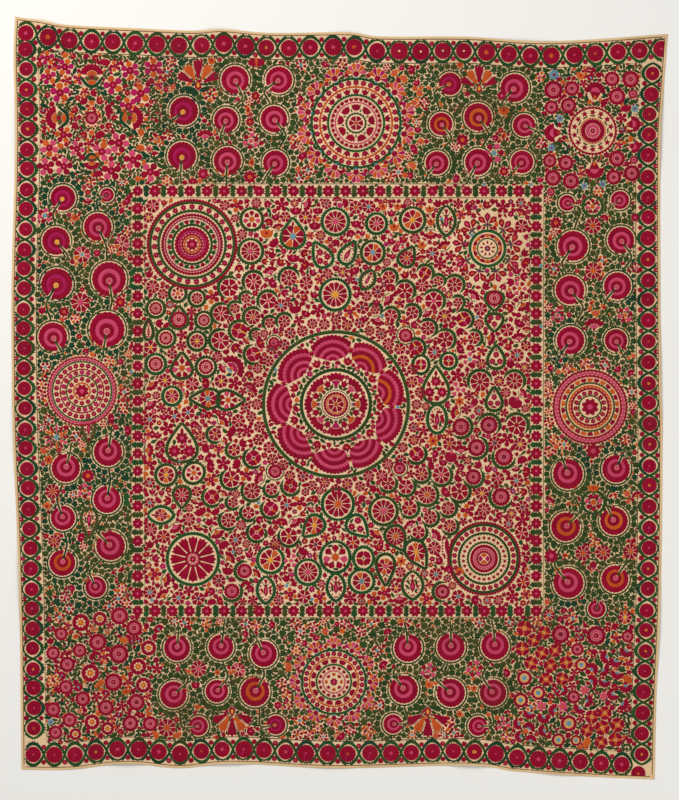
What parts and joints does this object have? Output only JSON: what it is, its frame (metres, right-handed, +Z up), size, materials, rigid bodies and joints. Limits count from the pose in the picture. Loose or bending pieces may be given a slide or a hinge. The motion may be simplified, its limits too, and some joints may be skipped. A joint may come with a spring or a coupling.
{
  "type": "suzani embroidered textile",
  "caption": "Large suzani: joined cream cotton panels covered with silk rosettes, roundels and vines in crimson and green, with a narrow sewn edging, laid flat.",
  "frame": {"origin": "on the surface, under the middle of the cloth's bounding box", "axes": "+Y towards the top of the design along the cloth's length, +X towards its right side, +Z up from the embroidered face"},
  "size_m": [2.2774, 2.646, 0.0141],
  "materials": {
    "embroidered_cotton": "cream plain-weave cotton under couched silk",
    "edging_tape": "narrow cotton tape, faded cream"
  },
  "bodies": {
    "root": {"panel_1": "embroidered_cotton", "panel_2": "embroidered_cotton", "panel_3": "embroidered_cotton", "panel_4": "embroidered_cotton", "edging_top": "edging_tape", "edging_bottom": "edging_tape", "edging_left": "edging_tape", "edging_right": "edging_tape"}
  },
  "joints": []
}
